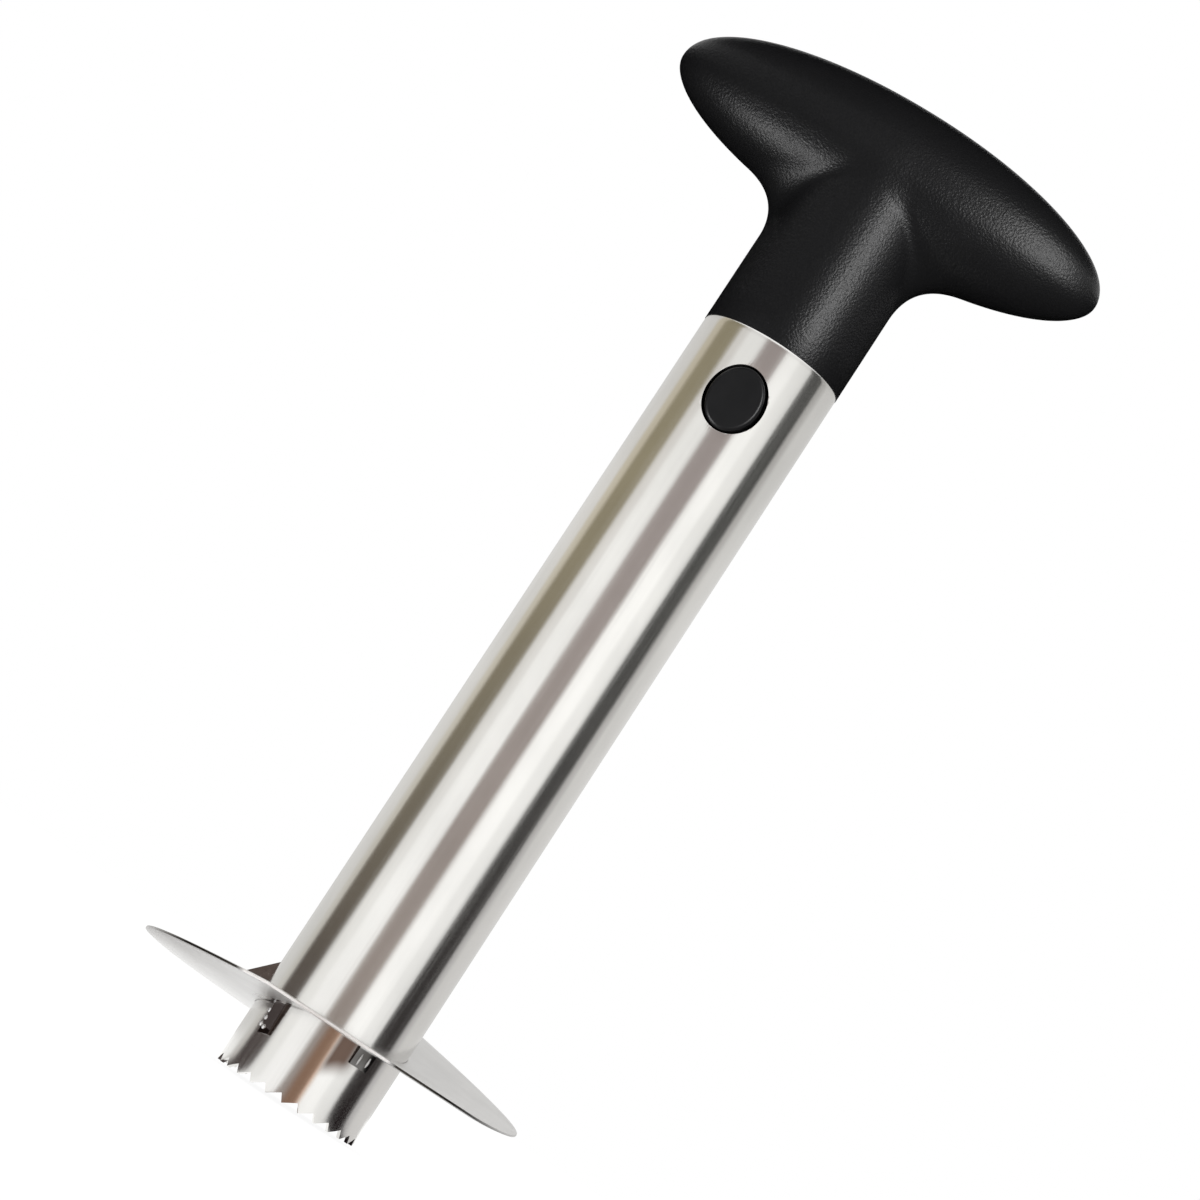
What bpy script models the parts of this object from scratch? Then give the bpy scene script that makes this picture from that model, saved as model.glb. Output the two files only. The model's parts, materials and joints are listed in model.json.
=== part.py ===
"""Pineapple slicer: a saw-toothed core tube with a helical ring blade, and a T-handle.

Two sprung push buttons hold the handle in the tube. Metres, +Z up along the tube, with the handle on top. The
origin is on the tube's axis, level with the tips of its teeth. The crossbar lies along X and the front button
faces -Y. Angles round the tube start at the front and grow towards +X.
"""
import math

import bmesh
import bpy
from mathutils import Matrix, Vector

# Fits
CLEARANCE = 0.0003
OVERRUN = 0.002

# Core tube
TUBE_DIAMETER = 0.032
TUBE_WALL = 0.0008
TUBE_LENGTH = 0.1808
TOOTH_COUNT = 26
TOOTH_DEPTH = 0.0017
TOOTH_STEPS_SHARES = ((0.0, 0.0), (0.375, 0.5), (0.75, 1.0))
TOOTH_START_ANGLE = math.radians(4)

# Ring blade
BLADE_DIAMETER = 0.0846
BLADE_THICKNESS = 0.0008
BLADE_HEIGHT = 0.0179
LEAD_DROP = 0.0066
TRAIL_RISE = 0.0090
SLIT_ANGLE = math.radians(10)
LEAD_BEND_ANGLE = math.radians(-15)
TRAIL_BEND_ANGLE = math.radians(55)
TRAIL_BEND_POWER = 1.5
RIM_GRIND = 0.0012
RIM_THICKNESS = 0.0004
BLADE_STEPS = 64

# Weld tabs of the blade
TAB_ANGLE = math.radians(36.5)
TAB_WIDTH = 0.0041
LEFT_TAB_LENGTH = 0.0070
RIGHT_TAB_LENGTH = 0.0040

# Gusset
GUSSET_LEG = 0.009
GUSSET_THICKNESS = 0.001
GUSSET_ANGLE = math.radians(-98)

# Grip
CROSSBAR_LENGTH = 0.1015
CROSSBAR_DEPTH = 0.0326
CROSSBAR_RISE = 0.0460
CROSSBAR_BELLY = 0.0154
CROSSBAR_CROWN = 0.0159
BELLY_POWERS = (1.94, 2.0)
CROWN_POWERS = (2.04, 2.5)
POWER_CHANGE = 0.005
NECK_PROUD = 0.0001
NECK_SIDE_FILLET = 0.0115
NECK_FRONT_FILLET = 0.0014
FILLET_POWER = 8
NECK_DOME = 0.012
GRIP_WALL = 0.0026
GRIP_SEGMENTS = 64
NECK_STEPS = 10
BELLY_STEPS = 15
CROWN_STEPS = 11
GRIP_STRETCH = 1.6

# Pegs that line up the two grip shells
PEG_OFFSET = 0.034
PEG_BOSS_DIAMETER = 0.006
PEG_DIAMETER = 0.003
PEG_LENGTH = 0.003

# Latch housing
PLUG_LENGTH = 0.038
PLUG_WALL = 0.0022
PLUG_TOP = 0.003
COLLAR_HEIGHT = 0.004
WEB_THICKNESS = 0.002
TANG_WIDTH = 0.020
TANG_THICKNESS = 0.010
TANG_HEIGHT = 0.034
TANG_BEVEL = 0.0015

# End cap
CAP_THICKNESS = 0.002
CAP_SPIGOT_HEIGHT = 0.003
CAP_SPIGOT_WALL = 0.0016

# Grip pins
PIN_DIAMETER = 0.004
PIN_LENGTH = 0.022
PIN_CHAMFER = 0.0004
PIN_BOSS_WALL = 0.0019
PIN_HEIGHT_SHARES = (0.33, 0.74)

# Push buttons
BUTTON_WIDTH = 0.0123
BUTTON_HEIGHT = 0.0144
BUTTON_GAP = 0.00035
BUTTON_DROP = 0.0145
BUTTON_PROUD = 0.0004
BUTTON_EDGE = 0.0008
BUTTON_FACE_WALL = 0.0018
FLANGE_WIDTH = 0.0016
FLANGE_THICKNESS = 0.0012

# Button springs
SPRING_WIRE = 0.0007
SPRING_DIAMETER = 0.0054
SPRING_TURNS = 7
SPRING_POINTS = 9
SEAT_HEIGHT = 0.0016

# Worked out from the sizes above
TUBE_RADIUS = TUBE_DIAMETER / 2
BORE_RADIUS = TUBE_RADIUS - TUBE_WALL
BLADE_RADIUS = BLADE_DIAMETER / 2
BLADE_BORE = TUBE_RADIUS + CLEARANCE
NECK_RADIUS = TUBE_RADIUS + NECK_PROUD
NECK_BORE = NECK_RADIUS - GRIP_WALL
CROSSBAR_AXIS = TUBE_LENGTH + CROSSBAR_RISE
PLUG_RADIUS = BORE_RADIUS - CLEARANCE
PLUG_BOTTOM = TUBE_LENGTH - PLUG_LENGTH
CAVITY_RADIUS = PLUG_RADIUS - PLUG_WALL
COLLAR_RADIUS = NECK_BORE - CLEARANCE
BUTTON_RADIUS = BUTTON_WIDTH / 2
BUTTON_STRETCH = BUTTON_HEIGHT / BUTTON_WIDTH
BUTTON_AXIS = TUBE_LENGTH - BUTTON_DROP
BUTTON_FACE = TUBE_RADIUS + BUTTON_PROUD
FLANGE_RADIUS = BUTTON_RADIUS + FLANGE_WIDTH
FLANGE_FRONT = math.sqrt(CAVITY_RADIUS ** 2 - FLANGE_RADIUS ** 2) - CLEARANCE
FLANGE_BACK = FLANGE_FRONT - FLANGE_THICKNESS
SPRING_POCKET = SPRING_DIAMETER / 2 + SPRING_WIRE / 2 + CLEARANCE
POCKET_END = BUTTON_FACE - BUTTON_FACE_WALL
SEAT_RADIUS = SPRING_DIAMETER / 2 - SPRING_WIRE / 2 - CLEARANCE
PIN_RADIUS = PIN_DIAMETER / 2
PIN_HOLE = PIN_RADIUS + CLEARANCE
PIN_HEIGHTS = tuple(TUBE_LENGTH + TANG_HEIGHT * share for share in PIN_HEIGHT_SHARES)

FRONT = -1
REAR = 1


def clear_scene():
    for item in list(bpy.data.objects):
        bpy.data.objects.remove(item, do_unlink=True)


def make_material(name, colour, roughness, metallic):
    material = bpy.data.materials.new(name)
    material.use_nodes = True
    shader = material.node_tree.nodes["Principled BSDF"]
    shader.inputs["Base Color"].default_value = (*colour, 1.0)
    shader.inputs["Roughness"].default_value = roughness
    shader.inputs["Metallic"].default_value = metallic
    return material


def make_object(name, mesh, material=None):
    """Wraps finished geometry in an object, smooth where it is round."""
    data = bpy.data.meshes.new(name)
    bmesh.ops.recalc_face_normals(mesh, faces=mesh.faces[:])
    mesh.to_mesh(data)
    mesh.free()
    data.shade_smooth()
    data.set_sharp_from_angle(angle=math.radians(35))
    item = bpy.data.objects.new(name, data)
    bpy.context.scene.collection.objects.link(item)
    if material:
        data.materials.append(material)
    return item


def combine(target, tool, operation):
    """Cuts or joins one solid with another, which stays as a hidden guide."""
    step = target.modifiers.new(tool.name, "BOOLEAN")
    step.operation = operation
    step.object = tool
    tool.hide_render = True
    tool.display_type = "WIRE"


def on_circle(radius, angle, height):
    """A point round the tube: angle 0 is the front, and it grows towards +X."""
    return Vector((radius * math.sin(angle), -radius * math.cos(angle), height))


def lathe(profile, segments, place=Matrix.Identity(4)):
    """Turns (radius, height) points round Z and closes the ends on the axis."""
    mesh = bmesh.new()
    rings = []
    for radius, height in profile:
        if radius == 0:
            rings.append([mesh.verts.new((0, 0, height))])
            continue
        turn = [2 * math.pi * step / segments for step in range(segments)]
        rings.append([mesh.verts.new((radius * math.cos(a), radius * math.sin(a), height)) for a in turn])
    for below, above in zip(rings, rings[1:]):
        for step in range(segments):
            after = (step + 1) % segments
            corners = [below[step % len(below)], below[after % len(below)],
                       above[after % len(above)], above[step % len(above)]]
            mesh.faces.new(list(dict.fromkeys(corners)))
    bmesh.ops.transform(mesh, matrix=place, verts=mesh.verts[:])
    return mesh


def bar(radius, start, end, place, segments):
    """A plain round bar along the placed Z axis."""
    return lathe([(0, start), (radius, start), (radius, end), (0, end)], segments, place)


def make_tool(name, pieces):
    """Gathers solids that lie apart into one object, which then cuts or joins in one step."""
    whole = bmesh.new()
    for piece in pieces:
        bmesh.ops.recalc_face_normals(piece, faces=piece.faces[:])
        carrier = bpy.data.meshes.new(name)
        piece.to_mesh(carrier)
        piece.free()
        whole.from_mesh(carrier)
        bpy.data.meshes.remove(carrier)
    return make_object(name, whole)


def oval_bar(margin, start, end, side):
    """A bar with the buttons' oval section, wider by a margin all round, on a button's axis of travel."""
    section = Matrix.Diagonal((BUTTON_RADIUS + margin, BUTTON_HEIGHT / 2 + margin, 1, 1))
    return bar(1, start, end, facing(side, BUTTON_AXIS) @ section, 40)


def block(name, low, high, bevel=0):
    mesh = bmesh.new()
    bmesh.ops.create_cube(mesh, size=1)
    for vert in mesh.verts:
        vert.co = Vector(high[i] if vert.co[i] > 0 else low[i] for i in range(3))
    if bevel:
        bmesh.ops.bevel(mesh, geom=mesh.edges[:], offset=bevel, segments=2, profile=0.5, affect="EDGES")
    return make_object(name, mesh)


def facing(side, height, x=0.0):
    """Turns +Z to the front (-Y) or the rear (+Y), at a height on the tube's axis."""
    return Matrix.Translation((x, 0, height)) @ Matrix.Rotation(-side * math.pi / 2, 4, "X")


def make_core_tube(material):
    """Thin tube with saw teeth: a slow slope to the right of each tip, and a steep side to its left."""
    mesh = bmesh.new()
    columns = []
    pitch = 2 * math.pi / TOOTH_COUNT
    for tooth in range(TOOTH_COUNT):
        for turn_share, depth_share in TOOTH_STEPS_SHARES:
            angle = TOOTH_START_ANGLE + pitch * (tooth + turn_share)
            foot = TOOTH_DEPTH * depth_share
            places = [(TUBE_RADIUS, foot), (TUBE_RADIUS, TUBE_LENGTH),
                      (BORE_RADIUS, TUBE_LENGTH), (BORE_RADIUS, foot)]
            columns.append([mesh.verts.new(on_circle(radius, angle, height)) for radius, height in places])
    for here, after in zip(columns, columns[1:] + columns[:1]):
        for corner in range(4):
            other = (corner + 1) % 4
            mesh.faces.new((here[corner], after[corner], after[other], here[other]))
    tube = make_object("core_tube", mesh, material)
    reach = TUBE_RADIUS + OVERRUN
    combine(tube, make_tool("button_holes", [oval_bar(BUTTON_GAP, -reach, reach, FRONT)]), "DIFFERENCE")


def blade_height(angle):
    """Height of the sheet's middle: level in front, low at its cutting end and high at its trailing end."""
    lead_end = -math.pi + SLIT_ANGLE / 2
    if angle < LEAD_BEND_ANGLE:
        along = (angle - LEAD_BEND_ANGLE) / (lead_end - LEAD_BEND_ANGLE)
        return BLADE_HEIGHT - LEAD_DROP * math.sin(along * math.pi / 2)
    along = max(0, (angle - TRAIL_BEND_ANGLE) / (-lead_end - TRAIL_BEND_ANGLE))
    return BLADE_HEIGHT + TRAIL_RISE * along ** TRAIL_BEND_POWER


def blade_angles():
    """Even steps from one end of the slit to the other, with an exact step at each weld tab."""
    end = math.pi - SLIT_ANGLE / 2
    half_tab = TAB_WIDTH / 2 / BLADE_BORE
    tabs = [side * TAB_ANGLE + edge * half_tab for side in (-1, 1) for edge in (-1, 1)]
    step = 2 * end / BLADE_STEPS
    even = [-end + step * count for count in range(BLADE_STEPS + 1)]
    even = [angle for angle in even if min(abs(abs(angle) - TAB_ANGLE), end) > half_tab + step / 4]
    return sorted(even + tabs)


def make_ring_blade(material):
    """One sheet bent into a helix, ground thin at its rim, with two tabs folded down against the tube."""
    mesh = bmesh.new()
    half = BLADE_THICKNESS / 2
    stations = [(BLADE_BORE, half), (BLADE_BORE + BLADE_THICKNESS, half),
                (BLADE_RADIUS - RIM_GRIND, half), (BLADE_RADIUS, RIM_THICKNESS / 2)]
    angles = blade_angles()
    rows = []
    for angle in angles:
        middle = blade_height(angle)
        top = [mesh.verts.new(on_circle(radius, angle, middle + thick)) for radius, thick in stations]
        bottom = [mesh.verts.new(on_circle(radius, angle, middle - thick)) for radius, thick in stations]
        rows.append(top + bottom[::-1])
    count = len(rows[0])
    last = len(stations) - 1
    tab_faces = {}
    for index, (here, after) in enumerate(zip(rows, rows[1:])):
        for corner in range(count):
            other = (corner + 1) % count
            face = mesh.faces.new((here[corner], after[corner], after[other], here[other]))
            middle = (angles[index] + angles[index + 1]) / 2
            if corner == count - 2 and abs(abs(middle) - TAB_ANGLE) * BLADE_BORE < TAB_WIDTH / 4:
                tab_faces[face] = LEFT_TAB_LENGTH if middle < 0 else RIGHT_TAB_LENGTH
    for row in (rows[0], rows[-1]):
        for station in range(last):
            mesh.faces.new((row[station], row[station + 1],
                            row[count - 2 - station], row[count - 1 - station]))
    flat = 1 / math.cos(TAB_WIDTH / 2 / BLADE_BORE)
    for face, length in tab_faces.items():
        tab = bmesh.ops.extrude_face_region(mesh, geom=[face])
        verts = [item for item in tab["geom"] if isinstance(item, bmesh.types.BMVert)]
        bmesh.ops.translate(mesh, verts=verts, vec=(0, 0, -length))
        bmesh.ops.scale(mesh, verts=verts, vec=(flat, flat, 1))
        bmesh.ops.delete(mesh, geom=[face], context="FACES_ONLY")
    make_object("ring_blade", mesh, material)


def make_blade_gusset(material):
    """Triangular plate standing on the blade's leading half, square to the tube."""
    half_turn = GUSSET_THICKNESS / 2 / BLADE_BORE
    seat = max(blade_height(GUSSET_ANGLE + side * half_turn) for side in (-1, 1))
    seat += BLADE_THICKNESS / 2 + CLEARANCE
    outline = [(BLADE_BORE, seat), (BLADE_BORE + GUSSET_LEG, seat), (BLADE_BORE, seat + GUSSET_LEG)]
    sideways = on_circle(GUSSET_THICKNESS / 2, GUSSET_ANGLE + math.pi / 2, 0)
    mesh = bmesh.new()
    faces = []
    for side in (-1, 1):
        corners = [on_circle(radius, GUSSET_ANGLE, height) + sideways * side for radius, height in outline]
        faces.append([mesh.verts.new(corner) for corner in corners])
        mesh.faces.new(faces[-1])
    for corner in range(3):
        other = (corner + 1) % 3
        mesh.faces.new((faces[0][corner], faces[0][other], faces[1][other], faces[1][corner]))
    make_object("blade_gusset", mesh, material)


def crossbar_gap(x, y, height, inset):
    """How far a point lies outside the crossbar, which is round and a little fuller on top than below."""
    over = height - CROSSBAR_AXIS
    rise = (CROSSBAR_BELLY if over < 0 else CROSSBAR_CROWN) - inset
    share = min(max(over / POWER_CHANGE / 2 + 1 / 2, 0), 1)
    share *= share * (3 - 2 * share)
    long_power, cross_power = (low + (high - low) * share for low, high in zip(BELLY_POWERS, CROWN_POWERS))
    depth = CROSSBAR_DEPTH / 2 - inset
    across = (abs(y / depth) ** cross_power + abs(over / rise) ** cross_power) ** (1 / cross_power)
    along = abs(x) / (CROSSBAR_LENGTH / 2 - inset)
    return ((along ** long_power + across ** long_power) ** (1 / long_power) - 1) * depth


def neck_gap(radius, height, inset):
    """How far a point lies outside the neck, which ends in a dome inside the crossbar."""
    neck = NECK_RADIUS - inset
    over = max(0, height - CROSSBAR_AXIS) * neck / NECK_DOME
    return math.hypot(radius, over) - neck


def grip_radius(angle, height, inset):
    """Distance from the tube's axis to the grip's skin, found by halving; both bodies blend in a fillet."""
    side = abs(math.sin(angle)) ** FILLET_POWER
    fillet = NECK_FRONT_FILLET + (NECK_SIDE_FILLET - NECK_FRONT_FILLET) * side
    low, high = 0, CROSSBAR_LENGTH
    for _ in range(40):
        radius = (low + high) / 2
        bar = crossbar_gap(radius * math.sin(angle), radius * math.cos(angle), height, inset)
        neck = neck_gap(radius, height, inset)
        blend = max(fillet - abs(bar - neck), 0) ** 2 / (4 * fillet)
        if min(bar, neck) - blend < 0:
            low = radius
        else:
            high = radius
    return low


def grip_heights(inset):
    """Levels of the grip's rings, closer where its outline turns."""
    base = TUBE_LENGTH + CLEARANCE
    belly = CROSSBAR_AXIS - CROSSBAR_BELLY + inset
    levels = [base + (belly - base) * step / NECK_STEPS for step in range(NECK_STEPS)]
    quarter = math.pi / 2
    for step in range(BELLY_STEPS):
        levels.append(CROSSBAR_AXIS - (CROSSBAR_BELLY - inset) * math.cos(quarter * step / BELLY_STEPS))
    for step in range(CROWN_STEPS):
        levels.append(CROSSBAR_AXIS + (CROSSBAR_CROWN - inset) * math.sin(quarter * step / CROWN_STEPS))
    return levels


def grip_skin(mesh, side, inset):
    """Half of the grip's skin as columns of points from the neck up to one point on top."""
    steps = GRIP_SEGMENTS // 2
    columns = []
    top = mesh.verts.new((0, side * CLEARANCE / 2, CROSSBAR_AXIS + CROSSBAR_CROWN - inset))
    for step in range(steps + 1):
        even = math.pi * step / steps
        angle = math.atan2(GRIP_STRETCH * math.cos(even), math.sin(even))
        column = []
        for height in grip_heights(inset):
            radius = grip_radius(angle, height, inset)
            depth = max(radius * math.cos(angle), CLEARANCE / 2)
            column.append(mesh.verts.new((radius * math.sin(angle), side * depth, height)))
        columns.append(column + [top])
    return columns


def make_grip_half(name, side):
    """Hollow half of the grip: two skins, joined at the parting face and round the neck's mouth."""
    mesh = bmesh.new()
    outer = grip_skin(mesh, side, 0)
    inner = grip_skin(mesh, side, GRIP_WALL)
    for skin in (outer, inner):
        for here, after in zip(skin, skin[1:]):
            for level in range(len(here) - 1):
                corners = (here[level], after[level], after[level + 1], here[level + 1])
                mesh.faces.new(list(dict.fromkeys(corners)))
    for here, after, within, beyond in zip(outer, outer[1:], inner, inner[1:]):
        mesh.faces.new((here[0], after[0], beyond[0], within[0]))
    for edge in (0, -1):
        for level in range(len(outer[0]) - 1):
            mesh.faces.new((outer[edge][level], outer[edge][level + 1],
                            inner[edge][level + 1], inner[edge][level]))
    return mesh


def grip_depth(x):
    """Half the crossbar's depth at a place along it, level with its axis."""
    along = abs(x) / (CROSSBAR_LENGTH / 2)
    return CROSSBAR_DEPTH / 2 * (1 - along ** BELLY_POWERS[0]) ** (1 / BELLY_POWERS[0])


def make_grip_shell(name, side, material):
    """Grip half with two bosses for the grip pins, and a lining-up peg or its socket in each wing."""
    shell = make_object(name, make_grip_half(name, side), material)
    boss_start = TANG_THICKNESS / 2 + CLEARANCE
    boss_end = NECK_RADIUS - GRIP_WALL / 2
    hole_end = PIN_LENGTH / 2 + CLEARANCE
    added, removed = [], []
    for height in PIN_HEIGHTS:
        place = facing(side, height)
        added.append(bar(PIN_HOLE + PIN_BOSS_WALL, boss_start, boss_end, place, 24))
        removed.append(bar(PIN_HOLE, boss_start - OVERRUN, hole_end, place, 24))
    parting = CLEARANCE / 2
    boss_radius = PEG_BOSS_DIAMETER / 2
    peg_radius = PEG_DIAMETER / 2
    peg_end = grip_depth(PEG_OFFSET + boss_radius) - CLEARANCE
    for x in (-PEG_OFFSET, PEG_OFFSET):
        place = facing(side, CROSSBAR_AXIS, x)
        boss = [(boss_radius, parting), (boss_radius, peg_end), (0, peg_end)]
        if side == REAR:
            peg = [(0, -parting - PEG_LENGTH), (peg_radius, -parting - PEG_LENGTH), (peg_radius, parting)]
            added.append(lathe(peg + boss, 20, place))
        else:
            added.append(lathe([(0, parting)] + boss, 20, place))
            socket_end = PEG_LENGTH + parting + CLEARANCE
            removed.append(bar(peg_radius + CLEARANCE, -OVERRUN, socket_end, place, 20))
    combine(shell, make_tool(f"{name}_bosses", added), "UNION")
    combine(shell, make_tool(f"{name}_holes", removed), "DIFFERENCE")


def make_latch_housing(material):
    """Plug with a cavity open below, a centre web with spring seats, and the tang that carries the grip."""
    ceiling = TUBE_LENGTH - PLUG_TOP
    collar_top = TUBE_LENGTH + COLLAR_HEIGHT
    profile = [(CAVITY_RADIUS, PLUG_BOTTOM), (PLUG_RADIUS, PLUG_BOTTOM), (PLUG_RADIUS, TUBE_LENGTH),
               (COLLAR_RADIUS, TUBE_LENGTH), (COLLAR_RADIUS, collar_top), (0, collar_top)]
    cavity = [(0, ceiling), (CAVITY_RADIUS, ceiling), (CAVITY_RADIUS, PLUG_BOTTOM)]
    mesh = lathe(list(reversed(profile)) + list(reversed(cavity)), 56)
    bmesh.ops.remove_doubles(mesh, verts=mesh.verts[:], dist=CLEARANCE / 10)
    housing = make_object("latch_housing", mesh, material)
    wall_middle = CAVITY_RADIUS + PLUG_WALL / 2
    half_web = WEB_THICKNESS / 2
    web_bottom = BUTTON_AXIS - FLANGE_RADIUS * BUTTON_STRETCH
    web = block("web", (-wall_middle, -half_web, web_bottom), (wall_middle, half_web, ceiling + PLUG_TOP / 2))
    combine(housing, web, "UNION")
    half_tang = TANG_WIDTH / 2
    half_thick = TANG_THICKNESS / 2
    tang_top = TUBE_LENGTH + TANG_HEIGHT
    corners = ((-half_tang, -half_thick, TUBE_LENGTH), (half_tang, half_thick, tang_top))
    tang = block("tang", *corners, TANG_BEVEL)
    combine(housing, tang, "UNION")
    places = [facing(side, BUTTON_AXIS) for side in (FRONT, REAR)]
    seats = [bar(SEAT_RADIUS, half_web / 2, half_web + SEAT_HEIGHT, place, 20) for place in places]
    combine(housing, make_tool("spring_seats", seats), "UNION")
    holes = [oval_bar(CLEARANCE, FLANGE_FRONT, PLUG_RADIUS + OVERRUN, side) for side in (FRONT, REAR)]
    reach = half_thick + OVERRUN
    holes += [bar(PIN_HOLE, -reach, reach, facing(FRONT, height), 24) for height in PIN_HEIGHTS]
    combine(housing, make_tool("housing_holes", holes), "DIFFERENCE")


def make_housing_end_cap(material):
    """Disc with a thin spigot that snaps into the plug's mouth."""
    top = PLUG_BOTTOM - CLEARANCE
    spigot_top = top + CAP_SPIGOT_HEIGHT
    spigot = CAVITY_RADIUS - CLEARANCE
    inside = spigot - CAP_SPIGOT_WALL
    profile = [(0, top - CAP_THICKNESS), (PLUG_RADIUS, top - CAP_THICKNESS), (PLUG_RADIUS, top),
               (spigot, top), (spigot, spigot_top), (inside, spigot_top), (inside, top), (0, top)]
    make_object("housing_end_cap", lathe(profile, 48), material)


def make_button(name, side, material):
    """Flanged oval button with a round blind pocket for its spring, its origin on its own axis of travel."""
    corner = BUTTON_RADIUS - BUTTON_EDGE
    edge = [(corner + BUTTON_EDGE * math.sin(a), BUTTON_FACE - BUTTON_EDGE * (1 - math.cos(a)))
            for a in (math.radians(30 * step) for step in range(4))]
    profile = [(0, BUTTON_FACE)] + edge
    profile += [(BUTTON_RADIUS, FLANGE_FRONT), (FLANGE_RADIUS, FLANGE_FRONT), (FLANGE_RADIUS, FLANGE_BACK),
                (SPRING_POCKET, FLANGE_BACK), (SPRING_POCKET, POCKET_END), (0, POCKET_END)]
    mesh = lathe(profile, 36)
    for vert in mesh.verts:
        if math.hypot(vert.co.x, vert.co.y) > SPRING_POCKET + CLEARANCE:
            vert.co.y *= BUTTON_STRETCH
    button = make_object(name, mesh, material)
    button.matrix_world = facing(side, BUTTON_AXIS)


def make_button_spring(name, side, material):
    """Open coil spring between the web and the bottom of its button's pocket."""
    start = WEB_THICKNESS / 2 + CLEARANCE + SPRING_WIRE / 2
    end = POCKET_END - CLEARANCE - SPRING_WIRE / 2
    steps = SPRING_TURNS * SPRING_POINTS
    points = []
    for step in range(steps + 1):
        turn = 2 * math.pi * step / SPRING_POINTS
        radius = SPRING_DIAMETER / 2
        height = start + (end - start) * step / steps
        points.append(Vector((radius * math.cos(turn), radius * math.sin(turn), height)))
    pairs = ((a, b) for i, a in enumerate(points) for b in points[i + SPRING_POINTS // 2:])
    least = min((a - b).length for a, b in pairs) - SPRING_WIRE
    print(f"{name}: least gap to itself {least * 1000:.2f} mm")
    curve = bpy.data.curves.new(name, "CURVE")
    curve.dimensions = "3D"
    curve.bevel_depth = SPRING_WIRE / 2
    curve.bevel_resolution = 1
    curve.use_fill_caps = True
    spline = curve.splines.new("POLY")
    spline.points.add(len(points) - 1)
    for target, point in zip(spline.points, points):
        target.co = (*point, 1)
    curve.materials.append(material)
    spring = bpy.data.objects.new(name, curve)
    bpy.context.scene.collection.objects.link(spring)
    spring.matrix_world = facing(side, BUTTON_AXIS)


def make_grip_pin(name, height, material):
    half = PIN_LENGTH / 2
    tip = PIN_RADIUS - PIN_CHAMFER
    profile = [(0, -half), (tip, -half), (PIN_RADIUS, PIN_CHAMFER - half), (PIN_RADIUS, half - PIN_CHAMFER),
               (tip, half), (0, half)]
    make_object(name, lathe(profile, 24, facing(FRONT, height)), material)


def main():
    clear_scene()
    steel = make_material("brushed stainless steel", (0.60, 0.59, 0.57), 0.28, 1.0)
    blade_steel = make_material("satin blade steel", (0.66, 0.66, 0.67), 0.38, 1.0)
    spring_steel = make_material("spring steel", (0.50, 0.50, 0.50), 0.30, 1.0)
    plastic = make_material("black grained plastic", (0.016, 0.016, 0.018), 0.48, 0.0)
    button_plastic = make_material("black button plastic", (0.014, 0.014, 0.016), 0.36, 0.0)
    make_core_tube(steel)
    make_ring_blade(blade_steel)
    make_blade_gusset(blade_steel)
    make_grip_shell("front_grip_shell", FRONT, plastic)
    make_grip_shell("rear_grip_shell", REAR, plastic)
    make_latch_housing(plastic)
    make_housing_end_cap(plastic)
    for side, label in ((FRONT, "front"), (REAR, "rear")):
        make_button(f"{label}_button", side, button_plastic)
        make_button_spring(f"{label}_button_spring", side, spring_steel)
    for label, height in zip(("lower", "upper"), PIN_HEIGHTS):
        make_grip_pin(f"{label}_grip_pin", height, steel)


main()
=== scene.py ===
"""Pineapple slicer: fine surfaces, finishes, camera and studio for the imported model.

Metres, +Z up along the tube, with the handle on top. The origin is on the tube's axis, level with the tips of
its teeth. The crossbar lies along X and the front button faces -Y. Angles round the tube start at the front and
grow towards +X, and so do the studio's.
"""
import json
import math

import bmesh
import bpy
from bpy.props import FloatProperty, FloatVectorProperty, IntProperty, PointerProperty
from mathutils import Matrix, Vector

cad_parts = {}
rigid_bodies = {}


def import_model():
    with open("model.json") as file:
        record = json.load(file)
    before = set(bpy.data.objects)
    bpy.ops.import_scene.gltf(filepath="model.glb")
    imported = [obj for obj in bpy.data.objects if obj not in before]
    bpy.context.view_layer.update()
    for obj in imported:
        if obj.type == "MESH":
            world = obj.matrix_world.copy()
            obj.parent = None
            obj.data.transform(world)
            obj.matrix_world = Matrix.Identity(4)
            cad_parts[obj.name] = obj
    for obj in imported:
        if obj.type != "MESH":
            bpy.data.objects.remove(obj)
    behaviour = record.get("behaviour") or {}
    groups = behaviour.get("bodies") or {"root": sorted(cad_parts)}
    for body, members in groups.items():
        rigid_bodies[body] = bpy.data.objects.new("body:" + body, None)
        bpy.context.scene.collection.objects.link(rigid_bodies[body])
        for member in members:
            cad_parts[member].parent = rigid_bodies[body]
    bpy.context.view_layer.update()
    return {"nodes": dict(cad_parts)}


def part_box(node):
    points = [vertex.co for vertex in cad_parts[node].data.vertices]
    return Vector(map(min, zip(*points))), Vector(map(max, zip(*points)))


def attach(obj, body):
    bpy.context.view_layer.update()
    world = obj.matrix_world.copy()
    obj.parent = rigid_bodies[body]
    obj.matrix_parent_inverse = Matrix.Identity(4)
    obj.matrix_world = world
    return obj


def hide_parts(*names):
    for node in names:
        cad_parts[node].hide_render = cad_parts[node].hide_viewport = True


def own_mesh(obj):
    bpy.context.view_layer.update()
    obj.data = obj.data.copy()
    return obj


bl_info = {
    "name": "Pineapple slicer",
    "version": (1, 0, 0),
    "blender": (4, 5, 0),
    "location": "3D View > Sidebar > Slicer",
    "description": "Builds the surfaces, finishes and studio of a pineapple slicer on its CAD frame",
    "category": "Object",
}

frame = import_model()

TUBE_RADIUS, _, TUBE_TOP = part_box("core_tube")[1]
BLADE_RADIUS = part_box("ring_blade")[1].x
CLEARANCE = 0.0003
BLADE_BORE = TUBE_RADIUS + CLEARANCE
NECK_RADIUS = TUBE_RADIUS + 0.0001
TURN = 2 * math.pi
SIDES = (("front", -1), ("rear", 1))
PANEL_RISE = 1.7  # top of a reflection panel, as a multiple of the studio's upper level


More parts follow.
